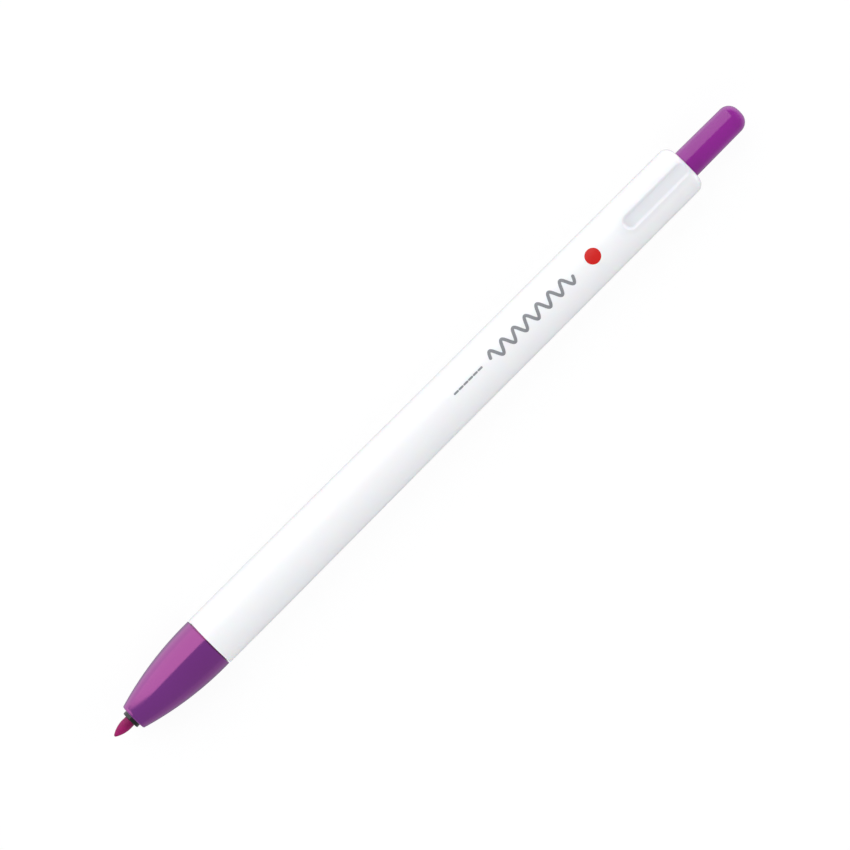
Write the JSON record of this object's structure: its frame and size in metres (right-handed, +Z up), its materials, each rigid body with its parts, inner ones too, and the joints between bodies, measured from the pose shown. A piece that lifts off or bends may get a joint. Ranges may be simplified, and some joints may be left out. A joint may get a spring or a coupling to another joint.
{
  "type": "click-action marking pen",
  "caption": "Click-action marking pen: tapered barrel, snap-in nose cone, ink refill with a bullet fibre nib, return spring and a push button over a rotary locking cam.",
  "frame": {"origin": "on the surface that the pen lies on, under the middle of its length and on its centre line", "axes": "+X along the pen from the nib to the button, +Z up out of the surface, through the recess and the printed side, +Y to the left of the nib-to-button direction"},
  "size_m": [0.1474, 0.0098, 0.0099],
  "materials": {
    "white_plastic": "smooth moulded, satin gloss",
    "purple_plastic": "glossy moulded in one colour",
    "crimson_fibre": "bonded fibre soaked in ink, matt",
    "black_plastic": "moulded, satin",
    "clear_plastic": "clear extruded tube",
    "inked_fibre": "bundled fibre soaked in ink",
    "film": "thin clear film",
    "spring_steel": "drawn wire",
    "natural_plastic": "unpigmented acetal",
    "red_print": "pad-printed ink",
    "grey_print": "pad-printed ink"
  },
  "bodies": {
    "barrel": {"barrel": "white_plastic", "front_cone": "purple_plastic", "cam_guide": "natural_plastic"},
    "knock": {"knock_button": "purple_plastic", "push_cam": "natural_plastic"},
    "refill": {"nib": "crimson_fibre", "nib_holder": "black_plastic", "reservoir_tube": "clear_plastic", "ink_core": "inked_fibre", "core_wrap": "film", "tail_plug": "black_plastic", "return_spring": "spring_steel"},
    "rotor": {"cam_rotor": "natural_plastic"}
  },
  "joints": [
    {"name": "knock_slide", "type": "slide", "parent": "barrel", "child": "knock", "axis": [1, 0, 0], "range_m": [-0.0015, 0.0055], "stiffness_N_per_m": 300, "springref_m": 0.0085},
    {"name": "refill_slide", "type": "slide", "parent": "barrel", "child": "refill", "axis": [1, 0, 0], "range_m": [-0.0015, 0.0055], "deforming": ["return_spring"]},
    {"name": "rotor_turn", "type": "hinge", "parent": "refill", "child": "rotor", "pos_m": [0.035, 0, 0.00493], "axis": [1, 0, 0], "continuous": true}
  ],
  "couplings": [
    {"joint": "refill_slide", "follows": "knock_slide", "ratio": 1}
  ]
}
